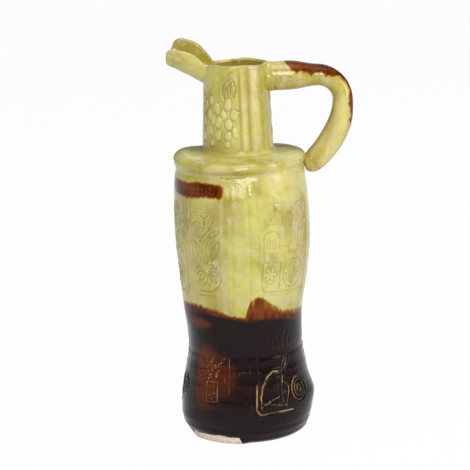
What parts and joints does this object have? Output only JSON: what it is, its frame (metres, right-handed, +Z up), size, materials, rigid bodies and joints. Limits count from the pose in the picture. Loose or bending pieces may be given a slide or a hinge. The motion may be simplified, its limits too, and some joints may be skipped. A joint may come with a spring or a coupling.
{
  "type": "pouring jug",
  "caption": "Tall slab-built stoneware jug with a waisted body, flat shoulder, tube neck, open trough spout and thick coil handle, in two glazes.",
  "frame": {"origin": "middle of the flat foot, on the table", "axes": "+Z up along the body's axis, +X towards the handle, -X towards the spout"},
  "size_m": [0.1472, 0.109, 0.318],
  "materials": {
    "yellow_glaze": "glossy",
    "brown_glaze": "glossy",
    "bare_clay": "matte"
  },
  "bodies": {
    "root": {"base_slab": "bare_clay", "base_coil": "brown_glaze", "body_wall": "yellow_glaze", "body_seam_strip": "yellow_glaze", "shoulder_slab": "yellow_glaze", "shoulder_coil": "yellow_glaze", "neck_wall": "yellow_glaze", "neck_seam_strip": "yellow_glaze", "neck_coil": "yellow_glaze", "spout": "yellow_glaze", "handle": "yellow_glaze", "handle_upper_wad": "yellow_glaze", "handle_lower_wad": "yellow_glaze"}
  },
  "joints": []
}
